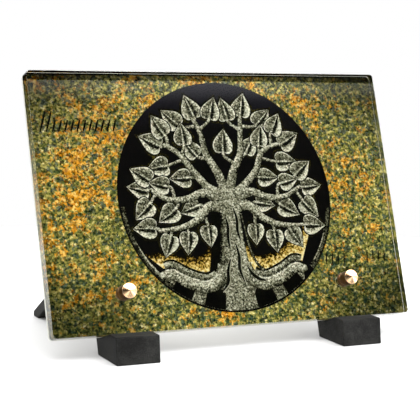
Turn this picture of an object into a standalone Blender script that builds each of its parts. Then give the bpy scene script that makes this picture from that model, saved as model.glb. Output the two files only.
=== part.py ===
"""A small commemorative plaque that stands on a grave or a shelf.

A clear glass plate leans back on two black feet. A printed backing sheet lies on the back of the glass.
Each foot is one moulded piece: a front block with a notch that carries the lower edge of the plate, an
upright behind the plate, and a strut that runs down to the rear. A turned screw with a loose collar goes
through the plate into the upright of each foot.

Units are metres, +Z is up, -Y is the front, and the origin lies on the floor below the middle.
"""
from math import atan2, cos, pi, radians, sin, tan

import bmesh
import bpy
from mathutils import Vector

MM = 0.001

# Clearance between pieces that touch
SEAT_GAP = 0.3 * MM

# Glass plate
PLATE_WIDTH = 300.0 * MM
PLATE_HEIGHT = 200.0 * MM
GLASS_THICKNESS = 10.0 * MM
PLATE_CORNER_RADIUS = 3.0 * MM
GLASS_ARRIS = 0.5 * MM
PLATE_TILT = radians(20.0)
PLATE_BASE_HEIGHT = 18.0 * MM

# Printed backing sheet
BACKING_THICKNESS = 2.0 * MM
BACKING_ARRIS = 0.2 * MM

# Feet; the inset runs from an end of the plate to the middle of the foot below it
FOOT_INSET = 56.5 * MM
FOOT_WIDTH = 34.0 * MM
FOOT_DEPTH = 187.0 * MM
BLOCK_HEIGHT = 20.0 * MM
BLOCK_LEAN = radians(8.0)
BLOCK_REACH = 22.4 * MM
UPRIGHT_HEIGHT = 71.0 * MM
UPRIGHT_THICKNESS = 8.0 * MM
STRUT_THICKNESS = 9.0 * MM
REAR_EDGE_HEIGHT = 4.2 * MM
CREST_RADIUS = 5.0 * MM
FORK_RADIUS = 7.0 * MM
FOOT_EDGE = 0.8 * MM

# Screws and collars
SCREW_HEIGHT = 29.5 * MM
HEAD_DIAMETER = 11.5 * MM
HEAD_LENGTH = 9.0 * MM
TIP_HEIGHT = 1.5 * MM
HEAD_EDGE = 0.4 * MM
COLLAR_LENGTH = 3.4 * MM
COLLAR_EDGE = 0.25 * MM
SHANK_DIAMETER = 6.0 * MM
SHANK_CLEARANCE = 0.4 * MM
FOOT_HOLE_DEPTH = 6.2 * MM

# Facets of the curved faces
ARC_STEP = radians(10.0)
EDGE_SEGMENTS = 2
TURNED_SIDES = 48
SMOOTH_ANGLE = radians(35.0)
MERGE_DISTANCE = 0.001 * MM

# Places worked out from the sizes above
FOOT_MIDDLE = PLATE_WIDTH / 2 - FOOT_INSET
FOOT_FRONT = -FOOT_DEPTH / 2
FOOT_REAR = FOOT_DEPTH / 2
PLATE_FRONT = FOOT_FRONT + BLOCK_REACH
BACKING_FRONT = GLASS_THICKNESS + SEAT_GAP
BACKING_REAR = BACKING_FRONT + BACKING_THICKNESS
UPRIGHT_FRONT = BACKING_REAR + SEAT_GAP
UPRIGHT_REAR = UPRIGHT_FRONT + UPRIGHT_THICKNESS
SCREW_HOLE_RADIUS = SHANK_DIAMETER / 2 + SHANK_CLEARANCE
CUTTER_MARGIN = 2.0 * MM

ALONG_PLATE = Vector((sin(PLATE_TILT), cos(PLATE_TILT)))
INTO_PLATE = Vector((cos(PLATE_TILT), -sin(PLATE_TILT)))


def clear_scene():
    for item in list(bpy.data.objects):
        bpy.data.objects.remove(item, do_unlink=True)


def make_material(name, colour, roughness, metallic, transmission=0.0):
    material = bpy.data.materials.new(name)
    material.use_nodes = True
    shader = material.node_tree.nodes["Principled BSDF"]
    shader.inputs["Base Color"].default_value = (*colour, 1.0)
    shader.inputs["Roughness"].default_value = roughness
    shader.inputs["Metallic"].default_value = metallic
    shader.inputs["Transmission Weight"].default_value = transmission
    return material


def side_point(along, into):
    """Side view (y, z) of a point: up the plate's face, and back from its front face."""
    corner = Vector((PLATE_FRONT, PLATE_BASE_HEIGHT))
    return corner + along * ALONG_PLATE + into * INTO_PLATE


def crossing(point, direction, other, other_direction):
    """Side-view point where two straight lines cross."""
    offset = other - point
    share = offset.cross(other_direction) / direction.cross(other_direction)
    return point + share * direction


def rounded_corner(before, corner, after, radius):
    """Points of the arc that rounds one corner of an outline, or the sharp corner itself."""
    if radius <= 0.0:
        return [corner]
    to_before = (before - corner).normalized()
    to_after = (after - corner).normalized()
    half_angle = to_before.angle(to_after) / 2
    middle = corner + (to_before + to_after).normalized() * (radius / sin(half_angle))
    start = corner + to_before * (radius / tan(half_angle)) - middle
    turn = start.angle_signed(corner + to_after * (radius / tan(half_angle)) - middle)
    steps = max(2, round(abs(turn) / ARC_STEP))
    start_angle = atan2(start.y, start.x)
    angles = [start_angle - turn * step / steps for step in range(steps + 1)]
    return [middle + Vector((cos(angle), sin(angle))) * radius for angle in angles]


def rounded_outline(corners):
    """Closed outline from (point, radius) corners."""
    points = []
    for index, (corner, radius) in enumerate(corners):
        before = corners[index - 1][0]
        after = corners[(index + 1) % len(corners)][0]
        points.extend(rounded_corner(before, corner, after, radius))
    return points


def bevel_outer_edges(mesh, width):
    """Break every sharp outward edge with a small round."""
    edges = [edge for edge in mesh.edges if edge.calc_face_angle_signed(0.0) > SMOOTH_ANGLE]
    bmesh.ops.bevel(mesh, geom=edges, offset=width, segments=EDGE_SEGMENTS, profile=0.5, affect="EDGES")


def make_object(name, mesh, material, parent=None):
    bmesh.ops.recalc_face_normals(mesh, faces=mesh.faces)
    data = bpy.data.meshes.new(name)
    mesh.to_mesh(data)
    mesh.free()
    item = bpy.data.objects.new(name, data)
    bpy.context.scene.collection.objects.link(item)
    item.parent = parent
    if material:
        data.materials.append(material)
    data.shade_smooth()
    data.set_sharp_from_angle(angle=SMOOTH_ANGLE)
    return item


def make_sheet(name, front, thickness, arris, material, parent):
    """Upright sheet with rounded corners, in the plate's own frame: x across, y up, z forwards."""
    half_width = PLATE_WIDTH / 2
    corners = [
        (Vector((-half_width, 0.0)), PLATE_CORNER_RADIUS),
        (Vector((half_width, 0.0)), PLATE_CORNER_RADIUS),
        (Vector((half_width, PLATE_HEIGHT)), PLATE_CORNER_RADIUS),
        (Vector((-half_width, PLATE_HEIGHT)), PLATE_CORNER_RADIUS),
    ]
    mesh = bmesh.new()
    outline = [mesh.verts.new((point.x, point.y, -front)) for point in rounded_outline(corners)]
    face = mesh.faces.new(outline)
    moved = bmesh.ops.extrude_face_region(mesh, geom=[face])["geom"]
    verts = [part for part in moved if isinstance(part, bmesh.types.BMVert)]
    bmesh.ops.translate(mesh, verts=verts, vec=(0.0, 0.0, -thickness))
    bmesh.ops.recalc_face_normals(mesh, faces=mesh.faces)
    bevel_outer_edges(mesh, arris)
    return make_object(name, mesh, material, parent)


def make_turned(name, profile, material, parent, across):
    """Turned piece on a screw's axis, from (radius, height) points; a radius of 0 closes an end."""
    mesh = bmesh.new()
    verts = [mesh.verts.new((radius, 0.0, height)) for radius, height in profile]
    edges = [mesh.edges.new(pair) for pair in zip(verts, verts[1:])]
    if profile[0][0] > 0.0:
        edges.append(mesh.edges.new((verts[-1], verts[0])))
    bmesh.ops.spin(mesh, geom=verts + edges, cent=(0.0, 0.0, 0.0), axis=(0.0, 0.0, 1.0),
                   angle=2 * pi, steps=TURNED_SIDES, use_merge=True)
    bmesh.ops.remove_doubles(mesh, verts=mesh.verts, dist=MERGE_DISTANCE)
    item = make_object(name, mesh, material, parent)
    item.location = (across, SCREW_HEIGHT, 0.0)
    return item


def cut(item, cutter):
    """Cut a hole with a hidden guide body."""
    cutter.hide_render = True
    cutter.display_type = "WIRE"
    modifier = item.modifiers.new("screw hole", "BOOLEAN")
    modifier.operation = "DIFFERENCE"
    modifier.solver = "EXACT"
    modifier.object = cutter


def make_hole_guide(name, across, front, rear, parent):
    """Guide body for a screw hole, between two depths behind the plate's front face."""
    profile = [(0.0, -rear), (SCREW_HOLE_RADIUS, -rear), (SCREW_HOLE_RADIUS, -front), (0.0, -front)]
    return make_turned(name, profile, None, parent, across)


def foot_outline():
    """Side view of a foot: front block, notch, upright, strut and rear end, as (y, z)."""
    block_top = FOOT_FRONT + BLOCK_HEIGHT * tan(BLOCK_LEAN)
    top_line = Vector((block_top, BLOCK_HEIGHT))
    level = Vector((1.0, 0.0))
    seat_corner = side_point(-SEAT_GAP, UPRIGHT_FRONT)
    notch_lip = crossing(top_line, level, seat_corner, INTO_PLATE)
    crest = side_point(UPRIGHT_HEIGHT, UPRIGHT_FRONT)
    rear_top = Vector((FOOT_REAR, REAR_EDGE_HEIGHT))
    strut = (crest - rear_top).normalized()
    below_strut = rear_top + Vector((-strut.y, strut.x)) * STRUT_THICKNESS
    floor = Vector((FOOT_REAR, 0.0))
    rear_heel = crossing(floor, level, below_strut, strut)
    upright_back = side_point(0.0, UPRIGHT_REAR)
    fork = crossing(upright_back, ALONG_PLATE, below_strut, strut)
    block_back = crossing(floor, level, upright_back, ALONG_PLATE)
    return rounded_outline([
        (Vector((FOOT_FRONT, 0.0)), 0.0),
        (top_line, 0.0),
        (notch_lip, 0.0),
        (seat_corner, 0.0),
        (crest, CREST_RADIUS),
        (rear_top, 0.0),
        (floor, 0.0),
        (rear_heel, 0.0),
        (fork, FORK_RADIUS),
        (block_back, 0.0),
    ])


def make_foot(name, across, material):
    mesh = bmesh.new()
    left_side = across - FOOT_WIDTH / 2
    outline = [mesh.verts.new((left_side, point.x, point.y)) for point in foot_outline()]
    face = mesh.faces.new(outline)
    moved = bmesh.ops.extrude_face_region(mesh, geom=[face])["geom"]
    verts = [part for part in moved if isinstance(part, bmesh.types.BMVert)]
    bmesh.ops.translate(mesh, verts=verts, vec=(FOOT_WIDTH, 0.0, 0.0))
    bmesh.ops.recalc_face_normals(mesh, faces=mesh.faces)
    bevel_outer_edges(mesh, FOOT_EDGE)
    return make_object(name, mesh, material)


def make_screw(name, across, material, parent):
    """Screw in one piece: pointed cap in front of the collar, and a plain shank behind it."""
    head_radius = HEAD_DIAMETER / 2
    shank_radius = SHANK_DIAMETER / 2
    head_back = SEAT_GAP + COLLAR_LENGTH + SEAT_GAP
    head_front = head_back + HEAD_LENGTH
    shank_end = -(UPRIGHT_FRONT + FOOT_HOLE_DEPTH - SEAT_GAP)
    profile = [
        (0.0, head_front + TIP_HEIGHT),
        (head_radius - HEAD_EDGE, head_front),
        (head_radius, head_front - HEAD_EDGE),
        (head_radius, head_back + HEAD_EDGE),
        (head_radius - HEAD_EDGE, head_back),
        (shank_radius, head_back),
        (shank_radius, shank_end),
        (0.0, shank_end),
    ]
    return make_turned(name, profile, material, parent, across)


def make_collar(name, across, material, parent):
    """Loose ring between the glass and the screw's head."""
    outer_radius = HEAD_DIAMETER / 2
    back = SEAT_GAP
    front = back + COLLAR_LENGTH
    profile = [
        (SCREW_HOLE_RADIUS, front),
        (outer_radius - COLLAR_EDGE, front),
        (outer_radius, front - COLLAR_EDGE),
        (outer_radius, back + COLLAR_EDGE),
        (outer_radius - COLLAR_EDGE, back),
        (SCREW_HOLE_RADIUS, back),
    ]
    return make_turned(name, profile, material, parent, across)


def build():
    clear_scene()
    glass = make_material("clear glass", (0.90, 0.94, 0.90), 0.02, 0.0, 1.0)
    print_sheet = make_material("printed sheet", (0.30, 0.28, 0.10), 0.45, 0.0)
    black = make_material("black moulding", (0.030, 0.030, 0.029), 0.45, 0.0)
    copper = make_material("copper finish", (0.72, 0.45, 0.30), 0.22, 1.0)

    plate_frame = bpy.data.objects.new("plate_frame", None)
    bpy.context.scene.collection.objects.link(plate_frame)
    plate_frame.location = (0.0, PLATE_FRONT, PLATE_BASE_HEIGHT)
    plate_frame.rotation_euler = (pi / 2 - PLATE_TILT, 0.0, 0.0)

    plate = make_sheet("glass_plate", 0.0, GLASS_THICKNESS, GLASS_ARRIS, glass, plate_frame)
    backing = make_sheet("printed_backing", BACKING_FRONT, BACKING_THICKNESS, BACKING_ARRIS,
                         print_sheet, plate_frame)
    for side, across in (("left", -FOOT_MIDDLE), ("right", FOOT_MIDDLE)):
        foot = make_foot(side + "_foot", across, black)
        plate_hole = make_hole_guide(side + "_plate_hole", across, -CUTTER_MARGIN,
                                     BACKING_REAR + CUTTER_MARGIN, plate_frame)
        foot_hole = make_hole_guide(side + "_foot_hole", across, UPRIGHT_FRONT - CUTTER_MARGIN,
                                    UPRIGHT_FRONT + FOOT_HOLE_DEPTH, plate_frame)
        cut(plate, plate_hole)
        cut(backing, plate_hole)
        cut(foot, foot_hole)
        make_collar(side + "_collar", across, copper, plate_frame)
        make_screw(side + "_screw", across, copper, plate_frame)


build()
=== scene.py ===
"""Looks of a small commemorative plaque: a clear glass plate over a printed picture, on black feet.

Plate coordinates run across (x), up the plate (y) and out of its front face (z), in millimetres, from the
middle of the lower front edge. The picture lies on the back of the glass, as thin flat layers of ink.
"""
from math import atan2, cos, hypot, pi, radians, sin

import bmesh
import bpy
from mathutils import Matrix, Vector
from mathutils.geometry import tessellate_polygon


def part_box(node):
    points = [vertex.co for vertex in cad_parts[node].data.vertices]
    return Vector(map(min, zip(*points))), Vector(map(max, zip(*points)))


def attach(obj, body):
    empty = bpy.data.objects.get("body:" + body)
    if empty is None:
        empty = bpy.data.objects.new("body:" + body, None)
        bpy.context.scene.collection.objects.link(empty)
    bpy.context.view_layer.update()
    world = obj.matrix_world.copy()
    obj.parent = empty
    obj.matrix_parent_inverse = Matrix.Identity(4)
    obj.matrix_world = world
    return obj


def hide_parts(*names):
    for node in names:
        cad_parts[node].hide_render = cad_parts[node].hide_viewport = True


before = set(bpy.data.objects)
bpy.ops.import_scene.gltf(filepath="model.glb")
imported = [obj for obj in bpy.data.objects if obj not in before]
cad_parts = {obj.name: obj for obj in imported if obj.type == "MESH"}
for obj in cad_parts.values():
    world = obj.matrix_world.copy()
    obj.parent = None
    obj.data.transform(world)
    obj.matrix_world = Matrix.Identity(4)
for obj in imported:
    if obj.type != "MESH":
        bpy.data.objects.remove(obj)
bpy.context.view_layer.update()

MM = 0.001

# Camera, fitted to the edges of the plate, feet and screws in the photograph; its place is in metres
CAMERA_PLACE = (-0.46189, -0.96369, 0.23113)
CAMERA_YAW = radians(25.837)
CAMERA_PITCH = radians(-7.167)
CAMERA_ROLL = radians(1.449)
FOCAL_PIXELS = 1353.9
IMAGE_PIXELS = 420
SENSOR_WIDTH = 36.0
NEAREST_SEEN = 0.01

# Plate and screws, in millimetres as in the solids
PLATE_TILT = radians(20.0)
PLATE_FRONT = -71.1
PLATE_BASE_HEIGHT = 18.0
PLATE_HEIGHT = 200.0
PLATE_CORNER_RADIUS = 3.0
SCREW_HEIGHT = 29.5
SCREW_HOLE_RADIUS = 3.4
PLATE_WIDTH = (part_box("glass_plate")[1].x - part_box("glass_plate")[0].x) / MM
SCREW_ACROSS = (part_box("right_screw")[1].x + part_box("right_screw")[0].x) / 2 / MM

# Print: its depth behind the glass front, the step from one layer of ink to the next, and its main shapes
PRINT_DEPTH = -9.97
LAYER_STEP = 0.003
PRINT_INSET = 0.25
DISC_CENTRE = (4.6, 101.7)
DISC_RADIUS = 91.4
# Painted shadow along the top edge of the print: height of the darker strip and of the dark line at the very
# top
TOP_SHADE_HEIGHT = 5.4
TOP_LINE_HEIGHT = 1.2
# Painted shade darkens the print along the left edge and ends below the top corner; places in metres from
# the plate's middle
LEFT_SHADE = 0.66
LEFT_SHADE_REACH = (-0.150, -0.136)
LEFT_SHADE_TOP = (0.02, 0.06)
# Where the corners begin to darken and are darkest, as the product of the two distances from the middle, in
# square metres
CORNER_SHADE = (0.0040, 0.0125)

# Tree, in millimetres from the middle of the disc
LEAF_LENGTH = 19.5
LEAF_WIDTH = 17.5
LIGHT = (-0.42, 0.91)


def srgb(red, green, blue):
    """Linear colour of a display colour given from 0 to 255."""
    shares = (red / 255, green / 255, blue / 255)
    return tuple(s / 12.92 if s <= 0.04045 else ((s + 0.055) / 1.055) ** 2.4 for s in shares)


def plate_matrix():
    """From plate coordinates in metres to the model's frame."""
    place = Matrix.Translation((0.0, PLATE_FRONT * MM, PLATE_BASE_HEIGHT * MM))
    return place @ Matrix.Rotation(pi / 2 - PLATE_TILT, 4, "X")


# Node helpers

def add_node(tree, kind, inputs=None, **settings):
    node = tree.nodes.new(kind)
    for name, value in settings.items():
        setattr(node, name, value)
    for name, value in (inputs or {}).items():
        if hasattr(value, "is_output"):
            tree.links.new(value, node.inputs[name])
        else:
            node.inputs[name].default_value = value
    return node


def math(tree, operation, first, second=0.0, clamp=False):
    node = add_node(tree, "ShaderNodeMath", {0: first, 1: second}, operation=operation, use_clamp=clamp)
    return node.outputs[0]


def noise(tree, place, size, detail=2.0, roughness=0.5):
    """Noise whose main grains are about size millimetres across."""
    values = {"Vector": place, "Scale": 1.0 / (size * MM), "Detail": detail, "Roughness": roughness}
    return add_node(tree, "ShaderNodeTexNoise", values).outputs[0]


def shifted(tree, place, amount):
    """The same place moved far away, for a pattern of its own."""
    values = {0: place, 1: (amount, amount, amount)}
    return add_node(tree, "ShaderNodeVectorMath", values, operation="ADD").outputs[0]


def grains(tree, place, size):
    """Three even random values for each crystal of about size millimetres."""
    values = {"Vector": place, "Scale": 0.7 / (size * MM), "Detail": 2.0}
    warp = add_node(tree, "ShaderNodeTexNoise", values)
    moved = {0: warp.outputs[1], 1: (size * MM, size * MM, size * MM), 2: place}
    moved = add_node(tree, "ShaderNodeVectorMath", moved, operation="MULTIPLY_ADD").outputs[0]
    cells = add_node(tree, "ShaderNodeTexVoronoi", {"Vector": moved, "Scale": 1.0 / (size * MM)})
    return add_node(tree, "ShaderNodeSeparateColor", {0: cells.outputs["Color"]}).outputs


def linear_ramp(tree, value, stops):
    """Colour ramp from (place, colour) stops, with linear colours."""
    node = add_node(tree, "ShaderNodeValToRGB", {0: value})
    elements = node.color_ramp.elements
    elements.remove(elements[0])
    for index, (place, colour) in enumerate(stops):
        element = elements[0] if index == 0 else elements.new(place)
        element.position = place
        element.color = (*colour, 1.0)
    return node.outputs[0]


def ramp(tree, value, stops):
    """Colour ramp from (place, colour) stops, with display colours."""
    return linear_ramp(tree, value, [(place, srgb(*colour)) for place, colour in stops])


def rescale(tree, value, low, high, new_low=0.0, new_high=1.0):
    values = {0: value, 1: low, 2: high, 3: new_low, 4: new_high}
    return add_node(tree, "ShaderNodeMapRange", values, interpolation_type="SMOOTHSTEP").outputs[0]


def mix_colour(tree, share, first, second, blend="MIX"):
    values = {0: share, 6: first, 7: second}
    return add_node(tree, "ShaderNodeMix", values, data_type="RGBA", blend_type=blend).outputs[2]


def new_material(name, roughness, metallic=0.0, specular=0.5):
    material = bpy.data.materials.new(name)
    material.use_nodes = True
    shader = material.node_tree.nodes["Principled BSDF"]
    shader.inputs["Roughness"].default_value = roughness
    shader.inputs["Metallic"].default_value = metallic
    shader.inputs["Specular IOR Level"].default_value = specular
    return material, material.node_tree, shader


def object_place(tree):
    return add_node(tree, "ShaderNodeTexCoord").outputs["Object"]


# Camera, floor and light

def make_camera():
    forward = Vector((sin(CAMERA_YAW) * cos(CAMERA_PITCH), cos(CAMERA_YAW) * cos(CAMERA_PITCH),
                      sin(CAMERA_PITCH)))
    level = Vector((cos(CAMERA_YAW), -sin(CAMERA_YAW), 0.0))
    upright = level.cross(forward)
    right = level * cos(CAMERA_ROLL) + upright * sin(CAMERA_ROLL)
    up = upright * cos(CAMERA_ROLL) - level * sin(CAMERA_ROLL)
    data = bpy.data.cameras.new("camera")
    data.sensor_width = SENSOR_WIDTH
    data.lens = FOCAL_PIXELS / IMAGE_PIXELS * SENSOR_WIDTH
    data.clip_start = NEAREST_SEEN
    camera = bpy.data.objects.new("camera", data)
    axes = Matrix((right, up, -forward)).transposed().to_4x4()
    camera.matrix_world = Matrix.Translation(CAMERA_PLACE) @ axes
    bpy.context.scene.collection.objects.link(camera)
    bpy.context.scene.camera = camera


FLOOR_REACH = 0.6
FLOOR_SIDES = 64
FLOOR_ALBEDO = 0.60


def make_floor():
    mesh = bpy.data.meshes.new("floor")
    rim = [(*polar(2 * pi * k / FLOOR_SIDES, FLOOR_REACH), 0.0) for k in range(FLOOR_SIDES)]
    mesh.from_pydata(rim, [], [tuple(range(FLOOR_SIDES))])
    floor = bpy.data.objects.new("floor", mesh)
    bpy.context.scene.collection.objects.link(floor)
    material, tree, shader = new_material("floor", 0.9, specular=0.0)
    shader.inputs["Base Color"].default_value = (FLOOR_ALBEDO, FLOOR_ALBEDO, FLOOR_ALBEDO, 1.0)
    mesh.materials.append(material)


STUDIO_STRENGTH = 6.0
# Faint veil on the upper part of the glass, which ends sharply below its top edge; angles in degrees
VEIL = 0.15
VEIL_START = 36.95
VEIL_END = 38.05
# Share of the light that is left on the far left, and the reach across in which it fades
LEFT_SHARE = 0.40
LEFT_FADE = (-0.75, -0.30)
# Boxes at the sides: strength, then where each one fades in or out, across or upwards. These places, and
# those of the fade on the left and of the floor's glow, are parts of a direction of length 1
RIGHT_BOX = 0.25
RIGHT_BOX_SIDE = (0.62, 0.70)
LEFT_BOX = 0.30
LEFT_BOX_SIDE = (-0.80, -0.88)
LEFT_BOX_FOOT = (0.20, 0.30)
LEFT_BOX_TOP = (0.48, 0.40)
LOW_RIGHT_BOX = 0.40
LOW_RIGHT_BOX_SIDE = (0.74, 0.80)
LOW_RIGHT_BOX_FOOT = (-0.06, -0.02)
LOW_RIGHT_BOX_TOP = (0.12, 0.08)
# Glow from below, in place of the floor beyond its rim
FLOOR_GLOW = 0.17
FLOOR_GLOW_TOP = (-0.05, -0.14)
# Light of long soft boxes that run across, by their angle from the front horizon over the top, in degrees
HALF_TURN = 180.0
STUDIO = (
    (0.0, 0.0),
    (0.5, 0.32),
    (9.0, 0.32),
    (15.0, 0.045),
    (21.0, 0.045),
    (25.0, 0.003),
    (43.0, 0.004),
    (49.0, 0.95),
    (70.0, 1.05),
    (90.0, 0.50),
    (105.0, 0.25),
    (116.0, 0.02),
    (132.0, 0.02),
    (142.0, 0.90),
    (168.0, 0.90),
    (176.0, 0.02),
)


def make_world():
    """Studio light from the world; the camera itself sees a plain white backdrop."""
    world = bpy.data.worlds.new("studio")
    bpy.context.scene.world = world
    world.use_nodes = True
    tree = world.node_tree
    place = add_node(tree, "ShaderNodeTexCoord").outputs["Generated"]
    split = add_node(tree, "ShaderNodeSeparateXYZ", {0: place})
    front = math(tree, "MULTIPLY", split.outputs["Y"], -1.0)
    angle = math(tree, "ARCTAN2", split.outputs["Z"], front)
    share = math(tree, "DIVIDE", angle, pi)
    across, up = split.outputs["X"], split.outputs["Z"]
    reach = rescale(tree, across, *LEFT_FADE, LEFT_SHARE, 1.0)
    right = rescale(tree, across, *RIGHT_BOX_SIDE, 0.0, RIGHT_BOX)
    left = rescale(tree, across, *LEFT_BOX_SIDE, 0.0, LEFT_BOX)
    low_right = rescale(tree, across, *LOW_RIGHT_BOX_SIDE, 0.0, LOW_RIGHT_BOX)
    for fade in (LEFT_BOX_FOOT, LEFT_BOX_TOP):
        left = math(tree, "MULTIPLY", left, rescale(tree, up, *fade))
    for fade in (LOW_RIGHT_BOX_TOP, LOW_RIGHT_BOX_FOOT):
        low_right = math(tree, "MULTIPLY", low_right, rescale(tree, up, *fade))
    floor_glow = rescale(tree, up, *FLOOR_GLOW_TOP, 0.0, FLOOR_GLOW)
    boxes = linear_ramp(tree, share, [(place / HALF_TURN, (value,) * 3) for place, value in STUDIO])
    height = math(tree, "DIVIDE", angle, radians(1.0))
    veil = math(tree, "MULTIPLY", rescale(tree, height, VEIL_START, VEIL_END, 0.0, VEIL),
                math(tree, "LESS_THAN", height, VEIL_END))
    studio = tree.nodes["Background"]
    studio.inputs["Strength"].default_value = STUDIO_STRENGTH
    light = mix_colour(tree, 1.0, boxes, reach, "MULTIPLY")
    for added in (right, left, low_right, floor_glow, veil):
        light = mix_colour(tree, 1.0, light, added, "ADD")
    tree.links.new(light, studio.inputs["Color"])
    backdrop = add_node(tree, "ShaderNodeBackground", {"Color": (1.0, 1.0, 1.0, 1.0), "Strength": 1.0})
    path = add_node(tree, "ShaderNodeLightPath")
    choice = add_node(tree, "ShaderNodeMixShader", {0: path.outputs["Is Camera Ray"],
                                                    1: studio.outputs[0], 2: backdrop.outputs[0]})
    tree.links.new(choice.outputs[0], tree.nodes["World Output"].inputs["Surface"])


# Materials

def glass_material():
    material, tree, shader = new_material("clear_glass", 0.0)
    shader.inputs["Base Color"].default_value = (0.97, 0.985, 0.965, 1.0)
    shader.inputs["IOR"].default_value = 1.5
    shader.inputs["Transmission Weight"].default_value = 1.0
    place = object_place(tree)
    waves = noise(tree, place, 45.0, 1.0)
    bump = add_node(tree, "ShaderNodeBump", {"Height": waves, "Strength": 0.02, "Distance": 0.0005})
    tree.links.new(bump.outputs[0], shader.inputs["Normal"])
    return material


BLACK_TONES = ((0.38, (24, 24, 23)), (0.5, (36, 36, 35)), (0.62, (50, 50, 48)))
BLACK_SPECULAR = 0.02
BLACK_ROUGHNESS = (0.38, 0.54)


def black_material():
    """Dull black moulding; its low specular level keeps the sides dark under this light."""
    material, tree, shader = new_material("black_moulding", 0.45, specular=BLACK_SPECULAR)
    place = object_place(tree)
    clouds = noise(tree, place, 14.0, 4.0, 0.6)
    grain = noise(tree, place, 0.7, 3.0, 0.7)
    value = math(tree, "ADD", math(tree, "MULTIPLY", clouds, 0.5), math(tree, "MULTIPLY", grain, 0.5))
    tree.links.new(ramp(tree, value, BLACK_TONES), shader.inputs["Base Color"])
    tree.links.new(rescale(tree, clouds, 0.3, 0.7, *BLACK_ROUGHNESS), shader.inputs["Roughness"])
    bump = add_node(tree, "ShaderNodeBump", {"Height": grain, "Strength": 0.3, "Distance": 0.0001})
    tree.links.new(bump.outputs[0], shader.inputs["Normal"])
    return material


SHEET_TONES = ((0.3, (184, 183, 172)), (0.7, (206, 204, 194)))


def sheet_material():
    material, tree, shader = new_material("white_sheet", 0.5)
    place = object_place(tree)
    grain = noise(tree, place, 1.2, 4.0, 0.6)
    clouds = noise(tree, place, 60.0, 3.0)
    blend = math(tree, "ADD", math(tree, "MULTIPLY", clouds, 0.7), math(tree, "MULTIPLY", grain, 0.3))
    tree.links.new(ramp(tree, blend, SHEET_TONES), shader.inputs["Base Color"])
    bump = add_node(tree, "ShaderNodeBump", {"Height": grain, "Strength": 0.08, "Distance": 0.0001})
    tree.links.new(bump.outputs[0], shader.inputs["Normal"])
    return material


COPPER_FACE_TONES = ((0.35, (232, 182, 134)), (0.65, (247, 212, 170)))
# Painted dark reflection on the sides of the heads
COPPER_SIDE_REFLECTION_TONES = ((0.35, (96, 66, 50)), (0.65, (134, 98, 76)))
COPPER_ROUGHNESS = (0.13, 0.22)
COPPER_SIDE_ROUGHER = 0.14
RING_SCALE = 5000.0


def copper_material():
    """Polished pale copper, fine rings about its own axis, and darker sides that are a painted reflection."""
    material, tree, shader = new_material("copper_finish", 0.22, metallic=1.0)
    place = object_place(tree)
    split = add_node(tree, "ShaderNodeSeparateXYZ", {0: place})
    radius = math(tree, "SQRT", math(tree, "ADD", math(tree, "POWER", split.outputs[0], 2.0),
                                     math(tree, "POWER", split.outputs[1], 2.0)))
    along = math(tree, "ADD", radius, split.outputs[2])
    rings = add_node(tree, "ShaderNodeTexNoise", {"W": along, "Scale": RING_SCALE, "Detail": 2.0},
                     noise_dimensions="1D").outputs[0]
    clouds = noise(tree, place, 2.5, 3.0)
    value = math(tree, "ADD", math(tree, "MULTIPLY", clouds, 0.5), math(tree, "MULTIPLY", rings, 0.5))
    polished = ramp(tree, value, COPPER_FACE_TONES)
    # Painted dark reflection: darker tones on the sides, beyond the rim of the face
    side = ramp(tree, value, COPPER_SIDE_REFLECTION_TONES)
    share = rescale(tree, radius, (HEAD_RADIUS - 0.2) * MM, (HEAD_RADIUS - 0.05) * MM)
    tree.links.new(mix_colour(tree, share, polished, side), shader.inputs["Base Color"])
    rough = rescale(tree, rings, 0.2, 0.8, *COPPER_ROUGHNESS)
    rough = math(tree, "ADD", rough, math(tree, "MULTIPLY", share, COPPER_SIDE_ROUGHER))
    tree.links.new(rough, shader.inputs["Roughness"])
    bump = add_node(tree, "ShaderNodeBump", {"Height": rings, "Strength": 0.25, "Distance": 0.00002})
    tree.links.new(bump.outputs[0], shader.inputs["Normal"])
    shader.inputs["Anisotropic"].default_value = 0.45
    shader.inputs["Anisotropic Rotation"].default_value = 0.25
    tangent = add_node(tree, "ShaderNodeTangent", direction_type="RADIAL", axis="Z")
    tree.links.new(tangent.outputs[0], shader.inputs["Tangent"])
    return material


# Tones of the inks, by shade from dark to light
STONE = (
    (0.0, (6, 6, 4)),
    (0.20, (26, 26, 17)),
    (0.42, (88, 88, 68)),
    (0.62, (146, 145, 120)),
    (0.80, (202, 201, 178)),
    (1.0, (246, 244, 226)),
)
# Disc ground: its black, and a paler bluish top tone that is a painted reflection of the veil on the glass
DISC = (
    (0.0, (9, 9, 7)),
    (0.4, (14, 13, 13)),
    (1.0, (44, 43, 52)),
)
# The ground about each leaf, behind the leaf itself
HALO = (
    (0.36, (9, 9, 7)),
    (0.52, (34, 31, 10)),
    (0.70, (104, 94, 34)),
)
GOLD = (
    (0.0, (9, 8, 5)),
    (0.30, (22, 18, 5)),
    (0.42, (126, 98, 28)),
    (0.54, (208, 172, 76)),
    (0.70, (240, 222, 150)),
    (0.9, (250, 242, 200)),
)
BLACK_INK = (
    (0.0, (9, 9, 6)),
    (1.0, (40, 38, 26)),
)
# Size of the stone's grains, in millimetres
SPECKLE_SIZE = 1.15


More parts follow.
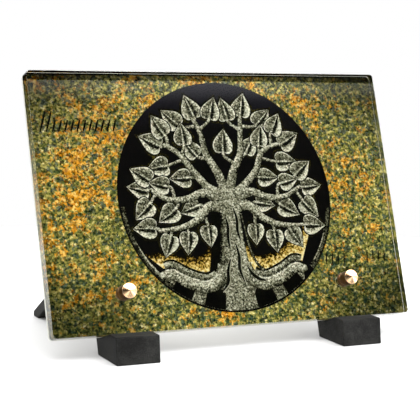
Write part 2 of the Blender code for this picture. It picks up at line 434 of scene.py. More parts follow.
def ink_material(name, stops, grain=1.0, amount=0.3, clouds=9.0, cloud_amount=0.1, speckle=0.0):
    """Printed stone or shade: the shape's own shade, broken up by grain, read through a ramp of colours."""
    material, tree, shader = new_material(name, 0.6, specular=0.0)
    place = object_place(tree)
    shade = add_node(tree, "ShaderNodeAttribute", attribute_name="shade").outputs["Fac"]
    fine = math(tree, "SUBTRACT", noise(tree, place, grain, 3.0, 0.62), 0.5)
    broad = math(tree, "SUBTRACT", noise(tree, place, clouds, 2.0), 0.5)
    value = math(tree, "ADD", shade, math(tree, "MULTIPLY", fine, amount * 2))
    specks = math(tree, "SUBTRACT", grains(tree, place, SPECKLE_SIZE)[0], 0.5)
    value = math(tree, "ADD", value, math(tree, "MULTIPLY", specks, speckle))
    value = math(tree, "ADD", value, math(tree, "MULTIPLY", broad, cloud_amount * 2), clamp=True)
    tree.links.new(ramp(tree, value, stops), shader.inputs["Base Color"])
    return material


# Areas with more orange, or with less where the last value is below 0: place on the plate, reach and
# strength
ORANGE_AREAS = (
    (90.0, 172.0, 30.0, 0.05),
    (-112.0, 130.0, 34.0, 0.055),
    (-118.0, 90.0, 26.0, 0.03),
    (-90.0, 166.0, 22.0, 0.03),
    (114.0, 116.0, 34.0, 0.06),
    (112.0, 50.0, 26.0, 0.03),
    (-14.0, 12.0, 18.0, 0.09),
    (-90.0, 74.0, 36.0, -0.07),
    (-37.0, 187.0, 26.0, -0.07),
    (-84.0, 192.0, 18.0, -0.05),
    (-61.0, 19.0, 26.0, -0.06),
    (22.0, 6.0, 26.0, -0.05),
    (-146.0, 130.0, 28.0, -0.07),
    (-146.0, 166.0, 26.0, -0.06),
    (122.0, 150.0, 18.0, -0.05),
)


# Tones of the granite's four kinds of grain
GRANITE = (
    (0.0, (20, 42, 30)),
    (0.2, (58, 74, 40)),
    (0.4, (108, 110, 50)),
    (0.6, (152, 144, 70)),
    (0.8, (194, 182, 108)),
    (1.0, (232, 224, 176)),
)
TEAL = ((0.0, (10, 30, 24)), (0.6, (34, 62, 48)), (1.0, (84, 100, 80)))
ORANGE = ((0.0, (150, 88, 6)), (0.35, (196, 128, 16)), (0.7, (220, 158, 42)), (1.0, (232, 204, 116)))
SLATE = ((0.0, (40, 50, 46)), (0.5, (112, 110, 102)), (1.0, (158, 156, 136)))
GRANITE_GRAIN = 1.5
SPECK_GRAIN = 1.6
# Darkest and lightest share of the light that the specks leave
SPECK_LIGHT = (0.30, 1.34)
# Where each kind of grain begins and is full, and how much it then covers
TEAL_MASK = (0.575, 0.635)
TEAL_COVER = 0.85
ORANGE_MASK = (0.525, 0.565)
ORANGE_COVER = 0.9
SLATE_MASK = (0.52, 0.68)
SLATE_COVER = 0.30
CORNER_DARKENING = 0.72
# Painted shadow along the top edge: share of the colour left in the darker strip and in the dark line at the
# very top
TOP_SHADE = 0.30
TOP_LINE_SHADE = 0.1


def ground_material():
    """Mottled granite: grains of teal, olive, cream and orange, darker towards the corners."""
    material, tree, shader = new_material("print_ground", 0.6, specular=0.0)
    place = object_place(tree)
    split = add_node(tree, "ShaderNodeSeparateXYZ", {0: place})
    across = split.outputs[0]
    up = math(tree, "SUBTRACT", split.outputs[1], PLATE_HEIGHT / 2 * MM)
    grain, tint, fleck = grains(tree, place, GRANITE_GRAIN)
    patches = noise(tree, place, 3.6, 3.0, 0.6)
    clusters = noise(tree, shifted(tree, place, 0.7), 15.0, 4.0, 0.6)
    spots = noise(tree, shifted(tree, place, 0.4), 4.2, 3.0, 0.6)
    value = math(tree, "ADD", math(tree, "MULTIPLY", grain, 0.55), math(tree, "MULTIPLY", patches, 1.7))
    value = math(tree, "SUBTRACT", value, 0.625)
    mask = math(tree, "ADD", spots, math(tree, "MULTIPLY", fleck, 0.10))
    mask = math(tree, "ADD", mask, math(tree, "MULTIPLY", across, 0.10))
    teal = rescale(tree, mask, *TEAL_MASK, 0.0, TEAL_COVER)
    colour = mix_colour(tree, teal, ramp(tree, value, GRANITE), ramp(tree, fleck, TEAL))
    # Orange gathers in clusters, most of them to the left and above, and less towards the corners
    corner = math(tree, "MULTIPLY", math(tree, "ABSOLUTE", across), math(tree, "ABSOLUTE", up))
    corner = rescale(tree, corner, *CORNER_SHADE)
    mask = math(tree, "ADD", math(tree, "MULTIPLY", clusters, 0.54), math(tree, "MULTIPLY", patches, 0.36))
    mask = math(tree, "ADD", mask, math(tree, "MULTIPLY", tint, 0.10))
    mask = math(tree, "ADD", mask, math(tree, "MULTIPLY", across, -0.16))
    mask = math(tree, "ADD", mask, math(tree, "MULTIPLY", up, 0.14))
    mask = math(tree, "SUBTRACT", mask, math(tree, "MULTIPLY", corner, 0.04))
    for x, y, reach, amount in ORANGE_AREAS:
        gap = add_node(tree, "ShaderNodeVectorMath", {0: place, 1: (x * MM, y * MM, PRINT_DEPTH * MM)},
                       operation="DISTANCE").outputs["Value"]
        mask = math(tree, "ADD", mask, rescale(tree, gap, 0.0, reach * MM, amount, 0.0))
    orange = rescale(tree, mask, *ORANGE_MASK, 0.0, ORANGE_COVER)
    colour = mix_colour(tree, orange, colour, ramp(tree, fleck, ORANGE))
    cool = rescale(tree, math(tree, "ADD", math(tree, "MULTIPLY", up, 1.1), spots), *SLATE_MASK)
    colour = mix_colour(tree, math(tree, "MULTIPLY", cool, SLATE_COVER), colour, ramp(tree, fleck, SLATE))
    specks = rescale(tree, grains(tree, shifted(tree, place, 0.2), SPECK_GRAIN)[0], 0.0, 0.55, *SPECK_LIGHT)
    light = math(tree, "SUBTRACT", 1.0, math(tree, "MULTIPLY", corner, CORNER_DARKENING))
    # Painted shadow: a darker strip and a dark line along the top edge of the print
    shade_foot = PLATE_HEIGHT / 2 - TOP_SHADE_HEIGHT
    line_foot = PLATE_HEIGHT / 2 - TOP_LINE_HEIGHT
    strip = rescale(tree, up, (shade_foot - 0.5) * MM, (shade_foot + 0.3) * MM, 1.0, TOP_SHADE)
    line = rescale(tree, up, (line_foot - 0.8) * MM, line_foot * MM, 1.0, TOP_LINE_SHADE)
    light = math(tree, "MULTIPLY", math(tree, "MULTIPLY", light, strip), line)
    # Painted shade along the left edge, which fades out towards the top
    side = rescale(tree, across, *LEFT_SHADE_REACH, LEFT_SHADE, 1.0)
    side = math(tree, "MAXIMUM", side, rescale(tree, up, *LEFT_SHADE_TOP))
    light = math(tree, "MULTIPLY", light, side)
    light = math(tree, "MULTIPLY", light, specks)
    grey = add_node(tree, "ShaderNodeCombineColor", {0: light, 1: light, 2: light}).outputs[0]
    colour = mix_colour(tree, 1.0, colour, grey, "MULTIPLY")
    tree.links.new(colour, shader.inputs["Base Color"])
    return material


# Shapes of the print

class Ink:
    """Flat shapes of one ink. Each shape lies a hair in front of the one printed before it."""
    printed = 0

    def __init__(self, name, material):
        self.name = name
        self.material = material
        self.points = []
        self.shades = []
        self.faces = []

    def next_height(self):
        Ink.printed += 1
        return PRINT_DEPTH + Ink.printed * LAYER_STEP

    def grid(self, rows, height=None):
        """Join rows of ((x, y), shade), in disc coordinates, into a strip of quads."""
        height = self.next_height() if height is None else height
        first = len(self.points)
        wide = len(rows[0])
        for row in rows:
            for (x, y), shade in row:
                self.points.append((x + DISC_CENTRE[0], y + DISC_CENTRE[1], height))
                self.shades.append(shade)
        for row in range(len(rows) - 1):
            for column in range(wide - 1):
                corner = first + row * wide + column
                self.faces.append((corner, corner + 1, corner + wide + 1, corner + wide))
        return height

    def finish(self):
        mesh = bpy.data.meshes.new(self.name)
        mesh.from_pydata([(x * MM, y * MM, z * MM) for x, y, z in self.points], [], self.faces)
        shade = mesh.attributes.new("shade", "FLOAT", "POINT")
        shade.data.foreach_set("value", self.shades)
        face_forwards(mesh)
        place_piece(self.name, mesh, self.material, plate_matrix())


def face_forwards(mesh):
    """Turn every flat face to the front of the plate."""
    for face in mesh.polygons:
        if face.normal.z < 0.0:
            face.flip()
    mesh.update()


def place_piece(name, mesh, material, matrix):
    mesh.materials.append(material)
    item = bpy.data.objects.new(name, mesh)
    bpy.context.scene.collection.objects.link(item)
    item.matrix_world = matrix
    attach(item, "root")
    return item


def polar(angle, radius, centre=(0.0, 0.0)):
    return (centre[0] + radius * cos(angle), centre[1] + radius * sin(angle))


def bezier(p0, p1, p2, p3, t):
    s = 1 - t
    return tuple(s ** 3 * a + 3 * s * s * t * b + 3 * s * t * t * c + t ** 3 * d
                 for a, b, c, d in zip(p0, p1, p2, p3))


def curve(start, start_heading, end, end_heading, steps=14, pull=0.38):
    size = hypot(end[0] - start[0], end[1] - start[1]) * pull
    first = polar(start_heading, size, start)
    second = polar(end_heading + pi, size, end)
    return [bezier(start, first, second, end, k / steps) for k in range(steps + 1)]


def taper(first, last, count):
    return [first + (last - first) * k / (count - 1) for k in range(count)]


def wobble(index, size):
    """Small variation that is the same each time."""
    return size * sin(index * 2.4 + 0.7)


def blend(first, second, share):
    return first + (second - first) * share


# Leaf from its rib (0) to its rim (1): the shade of a half turned from the light, and of one turned to it
LEAF_RINGS = (
    (0.00, 0.72, 0.74),
    (0.06, 0.50, 0.70),
    (0.10, 0.03, 0.46),
    (0.33, 0.00, 0.36),
    (0.42, 0.56, 0.40),
    (0.62, 0.78, 0.50),
    (0.84, 0.92, 0.54),
    (0.91, 0.92, 0.92),
    (0.96, 0.72, 0.90),
    (1.00, 0.24, 0.40),
)


def leaf_edge(t):
    """Half of a heart-shaped leaf's rim, as shares of its length and width."""
    if t < 0.45:
        return bezier((0.10, 0.0), (-0.10, 0.05), (-0.13, 0.50), (0.26, 0.50), t / 0.45)
    return bezier((0.26, 0.50), (0.52, 0.50), (0.78, 0.17), (1.0, 0.0), (t - 0.45) / 0.55)


def leaf_point(base, heading, length, width, bend, x, y):
    along = (cos(heading), sin(heading))
    out = y * width + bend * length * x * x
    return (base[0] + along[0] * x * length - along[1] * out,
            base[1] + along[1] * x * length + along[0] * out)


def draw_leaf(ink, base, heading, length, width, bend, steps=18):
    height = None
    for side in (1, -1):
        rows = []
        for k in range(steps + 1):
            x, y = leaf_edge(k / steps)
            rib = leaf_point(base, heading, length, width, bend, min(max(x, 0.06), 0.97), 0.0)
            rim = leaf_point(base, heading, length, width, bend, x, side * y)
            reach = (rim[0] - rib[0], rim[1] - rib[1])
            size = hypot(*reach) or 1.0
            facing = (reach[0] * LIGHT[0] + reach[1] * LIGHT[1]) / size
            share = min(max(0.5 + 0.8 * facing, 0.0), 1.0)
            rows.append([((rib[0] + reach[0] * v, rib[1] + reach[1] * v), blend(away, towards, share))
                         for v, away, towards in LEAF_RINGS])
        height = ink.grid(rows, height)


def draw_halo(ink, base, heading, length, width, bend, grow, shade, steps=12):
    """Dark shape a little larger than a leaf."""
    middle = leaf_point(base, heading, length, width, bend, 0.4, 0.0)
    height = None
    for side in (1, -1):
        rows = []
        for k in range(steps + 1):
            x, y = leaf_edge(k / steps)
            x = 0.4 + (x - 0.4) * (1.0 + 2.0 * grow / length)
            y = side * y * (1.0 + 2.0 * grow / width)
            rows.append([(middle, shade), (leaf_point(base, heading, length, width, bend, x, y), shade)])
        height = ink.grid(rows, height)


def draw_rib(ink, base, heading, length, width, bend):
    """Raised middle rib, in which the stem runs on into the leaf."""
    path = [leaf_point(base, heading, length, width, bend, -0.08 + 0.80 * k / 8, 0.0) for k in range(9)]
    draw_strip(ink, path, taper(2.3, 0.5, len(path)), shade=0.66, relief=0.22)


# Shade added across a strip, from one edge (-1) to the other (1)
COLUMNS = ((-1.0, -0.40), (-0.84, -0.06), (-0.45, 0.04), (0.0, 0.10), (0.45, 0.04), (0.84, -0.06),
           (1.0, -0.40))
SOFT_LINE = ((-1.0, -0.3), (0.0, 0.0), (1.0, -0.3))
FLAT_LINE = ((-1.0, 0.0), (0.0, 0.0), (1.0, 0.0))
RIM_BAND = ((-1.0, -0.2), (-0.4, 0.0), (0.4, 0.02), (1.0, -0.2))
GROOVE_LIP = ((-1.0, -0.25), (0.0, 0.0), (1.0, -0.25))
GROOVE = ((-1.0, 0.16), (0.0, 0.0), (1.0, 0.16))
INK_STROKE = ((-1.0, 0.2), (0.0, 0.0), (1.0, 0.2))


def draw_strip(ink, path, widths, shade=0.50, relief=0.36, columns=COLUMNS, soft_start=False):
    """Rounded band along a path; widths holds its full width at each point."""
    rows = []
    for index, (point, width) in enumerate(zip(path, widths)):
        before = path[max(index - 1, 0)]
        after = path[min(index + 1, len(path) - 1)]
        reach = (after[0] - before[0], after[1] - before[1])
        size = hypot(*reach) or 1.0
        normal = (-reach[1] / size, reach[0] / size)
        facing = normal[0] * LIGHT[0] + normal[1] * LIGHT[1]
        strength = min(1.0, index / 6) if soft_start else 1.0
        rows.append([((point[0] + normal[0] * c * width / 2, point[1] + normal[1] * c * width / 2),
                      shade + strength * (relief * c * facing + tone)) for c, tone in columns])
    return ink.grid(rows)


def draw_patch(ink, upper, lower, shades):
    """Fill between two lines of equally many points, with a shade for each row from upper to lower."""
    rows = []
    last = len(shades) - 1
    for index, shade in enumerate(shades):
        rows.append([((blend(a[0], b[0], index / last), blend(a[1], b[1], index / last)), shade)
                     for a, b in zip(upper, lower)])
    return ink.grid(rows)


# Limbs of the right half, mirrored for the left one: points, first and last width, then each leaf's place
# along the limb, foot, heading and size
LIMBS = (
    (((2, 4), (7, 19), (15, 33), (17, 49), (21, 63)), 8.5, 3.4, (
        (1.0, (21, 64), 72, 1.0), (0.84, (33, 56), 48, 0.95), (0.76, (8, 62), 98, 0.95),
        (0.40, (22, 33), 56, 0.85))),
    (((5, 1), (15, 7), (27, 20), (36, 34), (50, 40)), 8.5, 3.4, (
        (1.0, (53, 41), 20, 1.0), (0.86, (46, 49), 62, 0.95), (0.66, (32, 41), 84, 0.9),
        (0.60, (48, 26), -6, 0.95), (0.36, (29, 14), 0, 0.9))),
    (((6, -3), (20, 2), (35, -3), (51, -3), (65, 5)), 8.5, 3.2, (
        (1.0, (67, 6), 2, 0.9), (0.84, (63, 14), 40, 0.95), (0.86, (65, -5), -44, 0.95),
        (0.58, (46, -8), -40, 0.95), (0.62, (48, 8), 18, 0.85))),
    (((6, -9), (17, -8), (27, -18), (42, -25), (61, -24)), 9.5, 3.2, (
        (1.0, (64, -24), -2, 0.95), (0.82, (52, -29), -66, 0.9), (0.60, (36, -29), -84, 0.9),
        (0.34, (21, -23), -96, 0.85), (0.26, (25, -7), -10, 0.85))),
)
CENTRE_LEAF = (0.30, (0, 35), 91, 1.0)
LINE_STEPS = 5


def limb_leaves():
    """Each limb's path and widths, with its leaves as (stem path, foot, heading, size, bend)."""
    found = []
    for side in (1, -1):
        for number, (points, first, last, leaves) in enumerate(LIMBS):
            seed = 9 * number + 4 * side
            path = [(side * x + wobble(seed + x, 0.02 * y + 0.4), y + wobble(seed + y, 0.03 * x))
                    for x, y in points]
            path = smooth_line(path, LINE_STEPS)
            if side == 1 and number == 0:
                leaves = leaves + (CENTRE_LEAF,)
            grown = []
            for index, (place, foot, angle, size) in enumerate(leaves):
                seed = index + 5 * number + 3 * side
                step = min(int(place * (len(path) - 1)), len(path) - 2)
                here, there = path[step], path[step + 1]
                along = atan2(there[1] - here[1], there[0] - here[0])
                turn = radians(angle if side == 1 else 180 - angle) + radians(wobble(seed, 7.0))
                base = (side * foot[0] + wobble(seed + 1, 1.1), foot[1] + wobble(seed + 2, 1.1))
                stem = curve(here, along, base, turn, 8, 0.45)
                grown.append((stem, base, turn, size, 0.07 * sin(seed * 1.7)))
            found.append((path, taper(first, last, len(path)), grown))
    return found


DISC_SIDES = 128
DISC_RINGS = (0.0, 30.0, 60.0, 80.0, DISC_RADIUS)


def draw_disc(ink):
    """Black ground of the disc, a little paler towards its top: a painted reflection of the glass's veil."""
    rows = []
    for radius in DISC_RINGS:
        ring = [polar(2 * pi * k / DISC_SIDES, radius) for k in range(DISC_SIDES + 1)]
        # Painted reflection: the shade rises towards the top of the disc
        rows.append([(point, 0.15 + 0.6 * max(point[1] - 30.0, 0.0) / 60.0) for point in ring])
    ink.grid(rows)


def draw_tree():
    stone = ink_material("print_stone", STONE, 1.2, 0.66, 8.0, 0.12, 0.50)
    black = ink_material("print_dark_lines", STONE, 1.0, 0.12, 9.0, 0.04)
    disc = Ink("print_disc", ink_material("print_disc", DISC, 1.2, 0.16, 12.0, 0.10))
    halo = Ink("print_leaf_ground", ink_material("print_leaf_ground", HALO, 1.6, 0.30, 7.0, 0.25))
    gold = Ink("print_gold_ground", ink_material("print_gold_ground", GOLD, 1.9, 0.85, 7.0, 0.35))
    leaves = Ink("print_leaves", stone)
    wood = Ink("print_branches", stone)
    trunk = Ink("print_trunk", stone)
    dark = Ink("print_dark_lines", black)
    draw_disc(disc)
    limbs = limb_leaves()
    for path, widths, grown in limbs:
        for stem, base, turn, size, bend in grown:
            draw_halo(halo, base, turn, LEAF_LENGTH * size, LEAF_WIDTH * size, bend, 2.2, 0.44)
    draw_gold(gold)
    draw_trunk_shadow(dark)
    draw_apron(trunk, dark)
    draw_rim_lights(trunk)
    draw_trunk(trunk)
    for angle in WINDOW_ANGLES:
        draw_window(dark, angle - 90.0)
    draw_arms(trunk)
    for path, widths, grown in limbs:
        for stem, base, turn, size, bend in grown:
            length, width = LEAF_LENGTH * size, LEAF_WIDTH * size
            draw_halo(dark, base, turn, length, width, bend, 0.8, 0.0)
            draw_strip(wood, stem, taper(3.4, 2.6, len(stem)), shade=0.52)
            draw_leaf(leaves, base, turn, length, width, bend)
            draw_rib(leaves, base, turn, length, width, bend)
    for path, widths, grown in limbs:
        draw_strip(wood, path, widths, shade=0.54, soft_start=True)
    draw_grooves(dark)
    for ink in (disc, halo, gold, leaves, wood, trunk, dark):
        ink.finish()


# Trunk, roots and recess, in millimetres from the middle of the disc
TRUNK_PATH = ((0.0, 12.0), (0.5, 4.0), (0.3, -10.0), (-0.5, -28.0), (-1.2, -46.0), (-1.5, -58.0),
              (-1.5, -68.0), (-1.5, -89.6))
TRUNK_WIDTHS = (12.0, 17.0, 16.5, 19.0, 23.0, 28.0, 36.0, 22.0)
ARM = ((8.0, -55.0), (13.5, -65.0), (25.0, -70.5), (40.0, -66.0), (52.0, -59.5), (59.5, -60.5))
ARM_WIDTHS = (12.5, 8.0)
ROOT_AXIS = -1.5
RIM_WALL = 1.6


def smooth_line(points, steps=6):
    """Catmull-Rom line through points, as tuples of any length."""
    padded = (points[0],) + tuple(points) + (points[-1],)
    line = []
    for index in range(1, len(padded) - 2):
        a, b, c, d = padded[index - 1:index + 3]
        for step in range(steps):
            t = step / steps
            line.append(tuple(0.5 * (2 * q + (r - p) * t + (2 * p - 5 * q + 4 * r - s) * t * t
                                     + (3 * q - p - 3 * r + s) * t ** 3) for p, q, r, s in zip(a, b, c, d)))
    line.append(tuple(points[-1]))
    return line


def rim_below(point, radius):
    """Point of a circle straight below."""
    across = min(max(point[0], -radius * 0.98), radius * 0.98)
    return (across, -(radius ** 2 - across ** 2) ** 0.5)


def arm_path(side):
    return smooth_line([(ROOT_AXIS + side * x, y) for x, y in ARM])


# Dark openings below the roots: angles from straight down in degrees, half their width, and their reach
WINDOW_ANGLES = (-33.0, -14.5, 15.0, 33.5)
WINDOW_HALF_ANGLE = 5.9
WINDOW_RADII = (74.0, 89.7)
WINDOW_ROUNDING = 5.0
WINDOW_SHADES = ((0.0, 0.26), (0.10, 0.06), (0.5, 0.0), (0.95, 0.0), (1.0, 0.04))
WINDOW_EDGE_SHADE = 0.28


# Rise of the step above each root, and the shades from a root down to the rim
STEP_RISE = 7.6
APRON_SHADES = (0.50, 0.40, 0.42, 0.46, 0.50, 0.40)


def draw_apron(trunk, dark):
    """Stone between the roots and the rim, with the step above each root."""
    for side in (-1, 1):
        path = arm_path(side)
        step = [(x * 0.985, y + STEP_RISE) for x, y in path[8:]]
        draw_strip(dark, step, taper(8.0, 8.0, len(step)), shade=0.02, relief=0.0)
        draw_strip(trunk, step, taper(4.6, 5.4, len(step)), shade=0.46, relief=0.26)
        below = [rim_below(point, DISC_RADIUS - RIM_WALL) for point in path]
        draw_patch(trunk, path, below, APRON_SHADES)


def draw_arms(trunk):
    for side in (-1, 1):
        path = arm_path(side)
        draw_knob(trunk, path[-1], ARM_WIDTHS[1] / 2, 0.58, 0.42)
        widths = taper(*ARM_WIDTHS, len(path))
        draw_strip(trunk, path, widths, shade=0.54, relief=0.30, soft_start=True)
        lit = [(x, y + width * 0.40) for (x, y), width in zip(path, widths)][3:]
        draw_strip(trunk, lit, taper(1.0, 1.8, len(lit)), shade=0.92, relief=0.0, columns=SOFT_LINE)


def draw_knob(ink, centre, radius, shade, relief, sides=20):
    """Rounded end of a root, shaded outwards as a strip is."""
    rows = []
    for reach, tone in COLUMNS[3:]:
        row = []
        for k in range(sides + 1):
            angle = 2 * pi * k / sides
            facing = cos(angle) * LIGHT[0] + sin(angle) * LIGHT[1]
            row.append((polar(angle, reach * radius, centre), shade + relief * reach * facing + tone))
        rows.append(row)
    ink.grid(rows)


def draw_window(ink, angle):
    """Dark opening between two roots, with a round top, from the root above it to the rim."""
    inner, outer = WINDOW_RADII
    rows = []
    for v, shade in WINDOW_SHADES:
        row = []
        for u in range(-8, 9):
            share = u / 8
            top = inner + WINDOW_ROUNDING * share ** 4
            edge = WINDOW_EDGE_SHADE if abs(u) == 8 else 0.0
            place = polar(radians(angle + share * WINDOW_HALF_ANGLE), blend(top, outer, v))
            row.append((place, max(shade, edge)))
        rows.append(row)
    ink.grid(rows)


# Shade of the trunk from its left side to its right
TRUNK_COLUMNS = ((-1.0, 0.04), (-0.92, 0.14), (-0.78, 0.36), (-0.5, 0.54), (0.0, 0.58), (0.5, 0.60),
                 (0.78, 0.68), (0.92, 0.62), (1.0, 0.16))


def draw_trunk(ink):
    """Trunk, whose dark sides fade out where it spreads into the roots."""
    line = smooth_line([(x, y, w) for (x, y), w in zip(TRUNK_PATH, TRUNK_WIDTHS)])
    rows = []
    for x, y, w in line:
        spread = min(max((-56.0 - y) / 12.0, 0.0), 1.0)
        rows.append([((x + c * w / 2, y), blend(shade, 0.52, spread)) for c, shade in TRUNK_COLUMNS])
    ink.grid(rows)


TRUNK_SHADOW = ((-12.5, -12.0), (-13.5, -28.0), (-16.0, -44.0), (-19.0, -60.0))


def draw_trunk_shadow(ink):
    """Deep shade between the left side of the trunk and the gold ground."""
    line = smooth_line(TRUNK_SHADOW)
    draw_strip(ink, line, taper(6.0, 9.0, len(line)), shade=0.02, relief=0.0, columns=FLAT_LINE)


# Bark grooves: points and the width of each line
GROOVES = (
    (((-4.5, -16.0), (-3.2, -24.0), (-4.2, -33.0), (-3.6, -42.0)), 2.4),
    (((3.4, -10.0), (5.2, -19.0), (4.6, -28.0), (6.4, -36.0)), 2.5),
    (((1.6, -38.0), (3.2, -48.0), (2.4, -58.0), (5.2, -68.0)), 2.6),
    (((-4.5, -50.0), (-7.8, -59.0), (-9.0, -68.0), (-15.0, -75.0)), 2.6),
    (((9.2, -56.0), (12.5, -62.0), (18.0, -66.5), (24.0, -68.0)), 2.6),
)


def draw_grooves(ink):
    for points, width in GROOVES:
        line = smooth_line(points, 7)
        last = len(line) - 1
        widths = [width * (0.25 + 0.75 * sin(pi * k / last)) for k in range(len(line))]
        lip = [(x + 0.75, y - 0.3) for x, y in line]
        draw_strip(ink, lip, [w * 1.1 for w in widths], shade=0.80, relief=0.0, columns=GROOVE_LIP)
        draw_strip(ink, line, widths, shade=0.02, relief=0.0, columns=GROOVE)


# Height of the gold ground beside the trunk, half way along each root and at its end
GOLD_RISE = {-1: (33.0, 15.0, 12.0), 1: (19.0, 18.0, 33.0)}
GOLD_SHADES = (0.10, 0.42, 0.60, 0.68, 0.72)


def draw_gold(ink):
    """Bright rough ground that shows between the roots and the lower leaves."""
    for side in (-1, 1):
        path = arm_path(side)[4:]
        lower = [(x, y + 6.0) for x, y in path]
        last = len(path) - 1
        upper = []
        for k, (x, y) in enumerate(lower):
            share = k / last
            out = (x - ROOT_AXIS) * 0.24 * share ** 2
            near, middle, far = GOLD_RISE[side]
            bend = 2.0 * (near + far - 2.0 * middle)
            rise = near + (far - near - bend) * share + bend * share ** 2
            upper.append((x + out, y + rise))
        draw_patch(ink, upper, lower, GOLD_SHADES)


# Arcs on the recess wall, from one angle to another in degrees, with the width at the end of each pale line
RIM_BANDS = ((184, 232), (352, 318))
RIM_LINES = ((203, 226, 2.4), (338, 322, 1.0))
TRUNK_WALL = ((9.5, -14.0), (11.5, -28.0), (13.6, -42.0), (18.0, -54.0), (24.0, -60.0))


def rim_arc(first, last, inset, steps):
    return [polar(radians(blend(first, last, k / steps)), DISC_RADIUS - inset) for k in range(steps + 1)]


def draw_rim_lights(ink):
    """Wall of the recess: a dim band with a pale line inside the rim, on both sides, and one by the trunk."""
    for first, last in RIM_BANDS:
        rim = rim_arc(first, last, 2.9, 16)
        draw_strip(ink, rim, taper(3.4, 4.4, len(rim)), shade=0.26, relief=0.0, columns=RIM_BAND)
    wall = smooth_line(TRUNK_WALL)
    draw_strip(ink, wall, taper(1.0, 2.6, len(wall)), shade=0.40, relief=0.0, columns=SOFT_LINE)
    for first, last, width in RIM_LINES:
        rim = rim_arc(first, last, 4.2, 12)
        draw_strip(ink, rim, taper(0.5, width, len(rim)), shade=0.78, relief=0.0, columns=SOFT_LINE)


# Strokes in place of the two inscriptions

# Each row's left end, base line, pitch, heights of its strokes, their width and their slant, on the plate
STROKE_ROWS = (
    (-142.0, 154.0, 4.8, (16.0,) * 2 + (9.0,) * 11, 1.7, 0.34),
    (84.0, 43.5, 5.4, (9.5,) * 4 + (0.0, 3.0, 0.0) + (9.5,) * 4, 1.3, 0.12),
)


def draw_strokes(ink, left, base, pitch, heights, width, slant):
    """Row of plain slanting strokes that taper at both ends; a height of 0 leaves a gap."""
    for index, height in enumerate(heights):
        if not height:
            continue
        foot = (left + index * pitch - DISC_CENTRE[0], base - DISC_CENTRE[1])
        line = [(foot[0] + slant * height * k / 6, foot[1] + height * k / 6) for k in range(7)]
        widths = [width * (0.5 + 0.5 * sin(pi * k / 6)) for k in range(7)]
        draw_strip(ink, line, widths, shade=0.1, relief=0.0, columns=INK_STROKE)


def make_inscriptions():
    ink = Ink("print_strokes", ink_material("print_strokes", BLACK_INK, 1.0, 0.2))
    for row in STROKE_ROWS:
        draw_strokes(ink, *row)
    ink.finish()


# Sheet that carries the print

def circle(centre, radius, count=32):
    return [polar(2 * pi * k / count, radius, centre) for k in range(count)]


def rounded_rectangle(low, high, radius, steps=8):
    points = []
    left, right = low[0] + radius, high[0] - radius
    bottom, top = low[1] + radius, high[1] - radius
    for quarter, (x, y) in enumerate(((right, top), (left, top), (left, bottom), (right, bottom))):
        for step in range(steps + 1):
            points.append(polar(pi / 2 * (quarter + step / steps), radius, (x, y)))
    return points


def make_ground():
    half = PLATE_WIDTH / 2 - PRINT_INSET
    outline = rounded_rectangle((-half, PRINT_INSET), (half, PLATE_HEIGHT - PRINT_INSET),
                                PLATE_CORNER_RADIUS - PRINT_INSET)
    loops = [outline] + [circle((side * SCREW_ACROSS, SCREW_HEIGHT), SCREW_HOLE_RADIUS + 0.2)
                         for side in (-1, 1)]
    loops = [[Vector((x, y, 0.0)) for x, y in loop] for loop in loops]
    faces = tessellate_polygon(loops)
    points = [(p.x * MM, p.y * MM, PRINT_DEPTH * MM) for loop in loops for p in loop]
    mesh = bpy.data.meshes.new("print_ground")
    mesh.from_pydata(points, [], [tuple(face) for face in faces])
    face_forwards(mesh)
    place_piece("print_ground", mesh, ground_material(), plate_matrix())


# Screws and collars, turned finer than in the solids; heights from the front of the glass

HEAD_RADIUS = 5.75
HEAD_BASE = 4.0
HEAD_TOP = 13.0
TIP = 14.5
TIP_ROUNDING = 0.35
HEAD_EDGE = 0.4
SHANK_RADIUS = 3.0
SHANK_END = -18.5
COLLAR_BASE = 0.3
COLLAR_TOP = 3.7
COLLAR_EDGE = 0.25
COLLAR_HOLE = 3.4
TURNED_SIDES = 128
SHARP_ANGLE = radians(40.0)


def edge_arc(radius, height, size, first, last, steps=5):
    """Rounded edge of a turned piece about this radius and height, from one angle to another."""
    return [polar(blend(first, last, k / steps), size, (radius, height)) for k in range(steps + 1)]


def screw_profile():
    """Radius and height along the screw's outline, from the tip to the end of the shank."""
    inner = HEAD_RADIUS - HEAD_EDGE
    slope = (TIP - HEAD_TOP) / inner
    cone = [(0.0, TIP - TIP_ROUNDING * slope * 0.6)]
    radii = [blend(TIP_ROUNDING, inner - 0.1, k / 10) for k in range(11)]
    cone += [(radius, TIP - slope * radius) for radius in radii]
    head = edge_arc(inner, HEAD_TOP - HEAD_EDGE, HEAD_EDGE, pi / 2 - slope, 0.0)
    head += edge_arc(inner, HEAD_BASE + HEAD_EDGE, HEAD_EDGE, 0.0, -pi / 2)
    return cone + head + [(SHANK_RADIUS, HEAD_BASE), (SHANK_RADIUS, SHANK_END), (0.0, SHANK_END)]


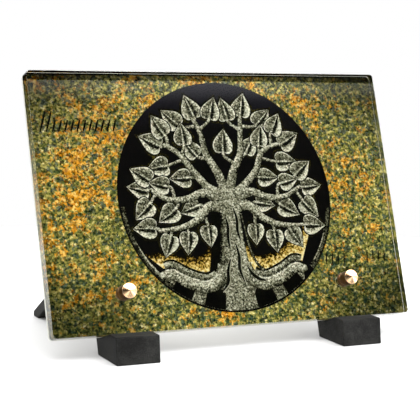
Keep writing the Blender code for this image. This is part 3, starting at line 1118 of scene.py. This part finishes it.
def collar_profile():
    """Closed outline of the loose ring behind the head."""
    inner = HEAD_RADIUS - COLLAR_EDGE
    ring = [(COLLAR_HOLE, COLLAR_TOP)]
    ring += edge_arc(inner, COLLAR_TOP - COLLAR_EDGE, COLLAR_EDGE, pi / 2, 0.0)
    ring += edge_arc(inner, COLLAR_BASE + COLLAR_EDGE, COLLAR_EDGE, 0.0, -pi / 2)
    return ring + [(COLLAR_HOLE, COLLAR_BASE), (COLLAR_HOLE, COLLAR_TOP)]


def turned(name, profile, across, material):
    """Piece turned about the axis of a screw, with its outline given as (radius, height)."""
    points, faces = [], []
    for radius, height in profile:
        for k in range(TURNED_SIDES):
            x, y = polar(2 * pi * k / TURNED_SIDES, radius)
            points.append((x * MM, y * MM, height * MM))
    count = len(profile)
    for row in range(count - 1):
        for k in range(TURNED_SIDES):
            after = (k + 1) % TURNED_SIDES
            faces.append((row * TURNED_SIDES + k, (row + 1) * TURNED_SIDES + k,
                          (row + 1) * TURNED_SIDES + after, row * TURNED_SIDES + after))
    mesh = bpy.data.meshes.new(name)
    mesh.from_pydata(points, [], faces)
    build = bmesh.new()
    build.from_mesh(mesh)
    bmesh.ops.remove_doubles(build, verts=build.verts, dist=0.0001 * MM)
    bmesh.ops.recalc_face_normals(build, faces=build.faces)
    build.to_mesh(mesh)
    build.free()
    mesh.shade_smooth()
    mesh.set_sharp_from_angle(angle=SHARP_ANGLE)
    matrix = plate_matrix() @ Matrix.Translation((across * MM, SCREW_HEIGHT * MM, 0.0))
    return place_piece(name, mesh, material, matrix)


def set_material(item, material):
    item.data.materials.clear()
    item.data.materials.append(material)


make_camera()
make_floor()
make_world()
bpy.context.scene.view_settings.view_transform = "Standard"
set_material(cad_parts["glass_plate"], glass_material())
set_material(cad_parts["printed_backing"], sheet_material())
black = black_material()
copper = copper_material()
for side in ("left", "right"):
    set_material(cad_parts[side + "_foot"], black)
    across = -SCREW_ACROSS if side == "left" else SCREW_ACROSS
    for piece, profile in (("screw", screw_profile()), ("collar", collar_profile())):
        item = turned(side + "_" + piece + "_turned", profile, across, copper)
        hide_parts(side + "_" + piece)
make_ground()
draw_tree()
make_inscriptions()
